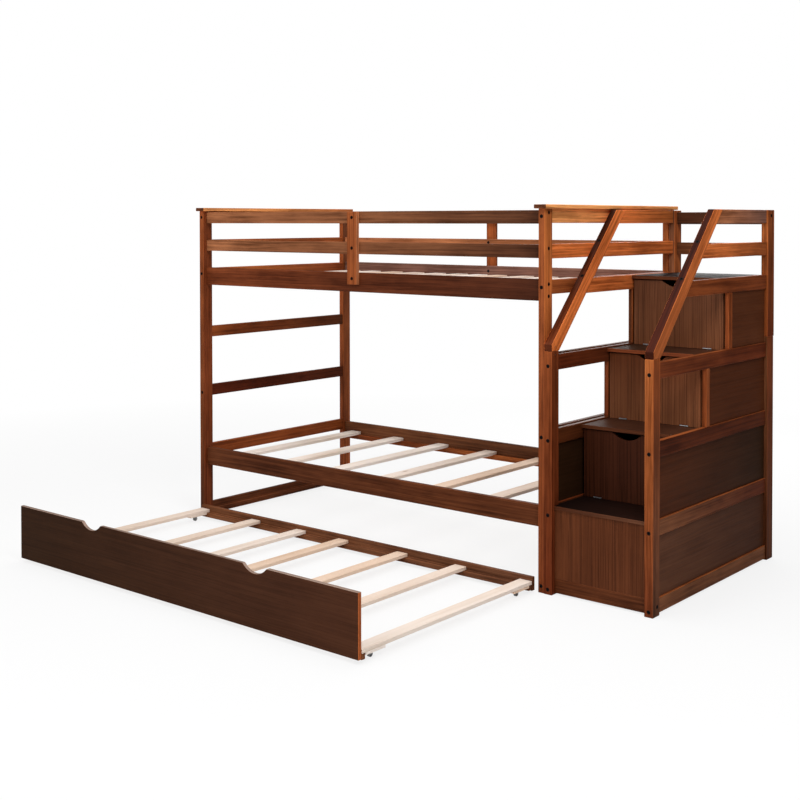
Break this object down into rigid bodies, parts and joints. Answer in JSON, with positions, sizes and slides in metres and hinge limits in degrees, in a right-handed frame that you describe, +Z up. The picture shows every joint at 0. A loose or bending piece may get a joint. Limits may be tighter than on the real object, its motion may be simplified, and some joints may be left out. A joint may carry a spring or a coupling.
{
  "type": "bunk bed with trundle",
  "caption": "Wooden bunk bed with slatted bunks, a storage staircase with drop-front doors and handrails, and a slatted pull-out trundle on castors.",
  "frame": {"origin": "on the floor, at the middle of the box round the whole piece with the trundle pulled out", "axes": "+X runs along the bed from the ladder end to the staircase, +Y runs from the trundle side to the wall side, +Z is up"},
  "size_m": [2.4842, 2.106, 1.507],
  "materials": {
    "stained_wood": "satin walnut stain",
    "panel_wood": "satin dark walnut stain",
    "pine": "bare pine",
    "black_metal": "black",
    "steel": "satin",
    "grey_plastic": "matt"
  },
  "bodies": {
    "frame": {"left_posts": "stained_wood", "mid_posts": "stained_wood", "left_guard_rails": "stained_wood", "left_rungs": "stained_wood", "mid_guard_rails": "stained_wood", "mid_rungs": "stained_wood", "left_cap": "stained_wood", "mid_cap": "stained_wood", "front_guard_rails": "stained_wood", "back_guard_rails": "stained_wood", "upper_side_rails": "stained_wood", "lower_side_rails": "stained_wood", "slat_ledgers": "stained_wood", "front_brace": "stained_wood", "back_brace": "stained_wood", "upper_slats": "pine", "lower_slats": "pine", "bed_bolts": "black_metal", "stair_front_posts": "stained_wood", "stair_rear_posts": "stained_wood", "stair_upper_posts": "stained_wood", "stair_left_rails": "stained_wood", "stair_right_rails": "stained_wood", "stair_mullions": "stained_wood", "stair_left_panels": "panel_wood", "stair_right_panels": "panel_wood", "stair_left_guard": "stained_wood", "stair_right_guard": "stained_wood", "left_handrail": "stained_wood", "right_handrail": "stained_wood", "stair_back_guard": "stained_wood", "stair_cross_rails": "stained_wood", "riser_1": "panel_wood", "tread_1": "panel_wood", "tread_2": "panel_wood", "tread_3": "panel_wood", "platform": "panel_wood", "stair_back_panels": "panel_wood", "tread_cleats": "stained_wood", "door_stops": "stained_wood", "stair_bolts": "black_metal", "hinge_fixed_leaves": "steel"},
    "trundle": {"trundle_panel": "panel_wood", "trundle_rails": "stained_wood", "trundle_slats": "pine", "castor_blocks": "pine", "castor_mounts": "grey_plastic", "trundle_brackets": "steel"},
    "door_2_body": {"door_2": "panel_wood", "door_2_leaves": "steel"},
    "door_3_body": {"door_3": "panel_wood", "door_3_leaves": "steel"},
    "door_4_body": {"door_4": "panel_wood", "door_4_leaves": "steel"},
    "wheel_front_left_body": {"wheel_front_left": "grey_plastic"},
    "wheel_front_right_body": {"wheel_front_right": "grey_plastic"},
    "wheel_rear_left_body": {"wheel_rear_left": "grey_plastic"},
    "wheel_rear_right_body": {"wheel_rear_right": "grey_plastic"}
  },
  "joints": [
    {"name": "trundle_slide", "type": "slide", "parent": "frame", "child": "trundle", "axis": [0, 1, 0], "range_m": [0, 1.032]},
    {"name": "door_2_hinge", "type": "hinge", "parent": "frame", "child": "door_2_body", "pos_m": [1.00715, 0.21, 0.3474], "axis": [1, 0, 0], "range_deg": [0, 90]},
    {"name": "door_3_hinge", "type": "hinge", "parent": "frame", "child": "door_3_body", "pos_m": [1.00715, 0.41, 0.6354], "axis": [1, 0, 0], "range_deg": [0, 90]},
    {"name": "door_4_hinge", "type": "hinge", "parent": "frame", "child": "door_4_body", "pos_m": [1.00715, 0.61, 0.9234], "axis": [1, 0, 0], "range_deg": [0, 90]},
    {"name": "wheel_front_left_spin", "type": "hinge", "parent": "trundle", "child": "wheel_front_left_body", "pos_m": [-1.16115, -0.967, 0.01], "axis": [-1, 0, 0], "continuous": true},
    {"name": "wheel_front_right_spin", "type": "hinge", "parent": "trundle", "child": "wheel_front_right_body", "pos_m": [0.70485, -0.967, 0.01], "axis": [-1, 0, 0], "continuous": true},
    {"name": "wheel_rear_left_spin", "type": "hinge", "parent": "trundle", "child": "wheel_rear_left_body", "pos_m": [-1.16115, -0.115, 0.01], "axis": [-1, 0, 0], "continuous": true},
    {"name": "wheel_rear_right_spin", "type": "hinge", "parent": "trundle", "child": "wheel_rear_right_body", "pos_m": [0.70485, -0.115, 0.01], "axis": [-1, 0, 0], "continuous": true}
  ],
  "couplings": [
    {"joint": "wheel_front_left_spin", "follows": "trundle_slide", "rad_per_m": 100},
    {"joint": "wheel_front_right_spin", "follows": "trundle_slide", "rad_per_m": 100},
    {"joint": "wheel_rear_left_spin", "follows": "trundle_slide", "rad_per_m": 100},
    {"joint": "wheel_rear_right_spin", "follows": "trundle_slide", "rad_per_m": 100}
  ]
}
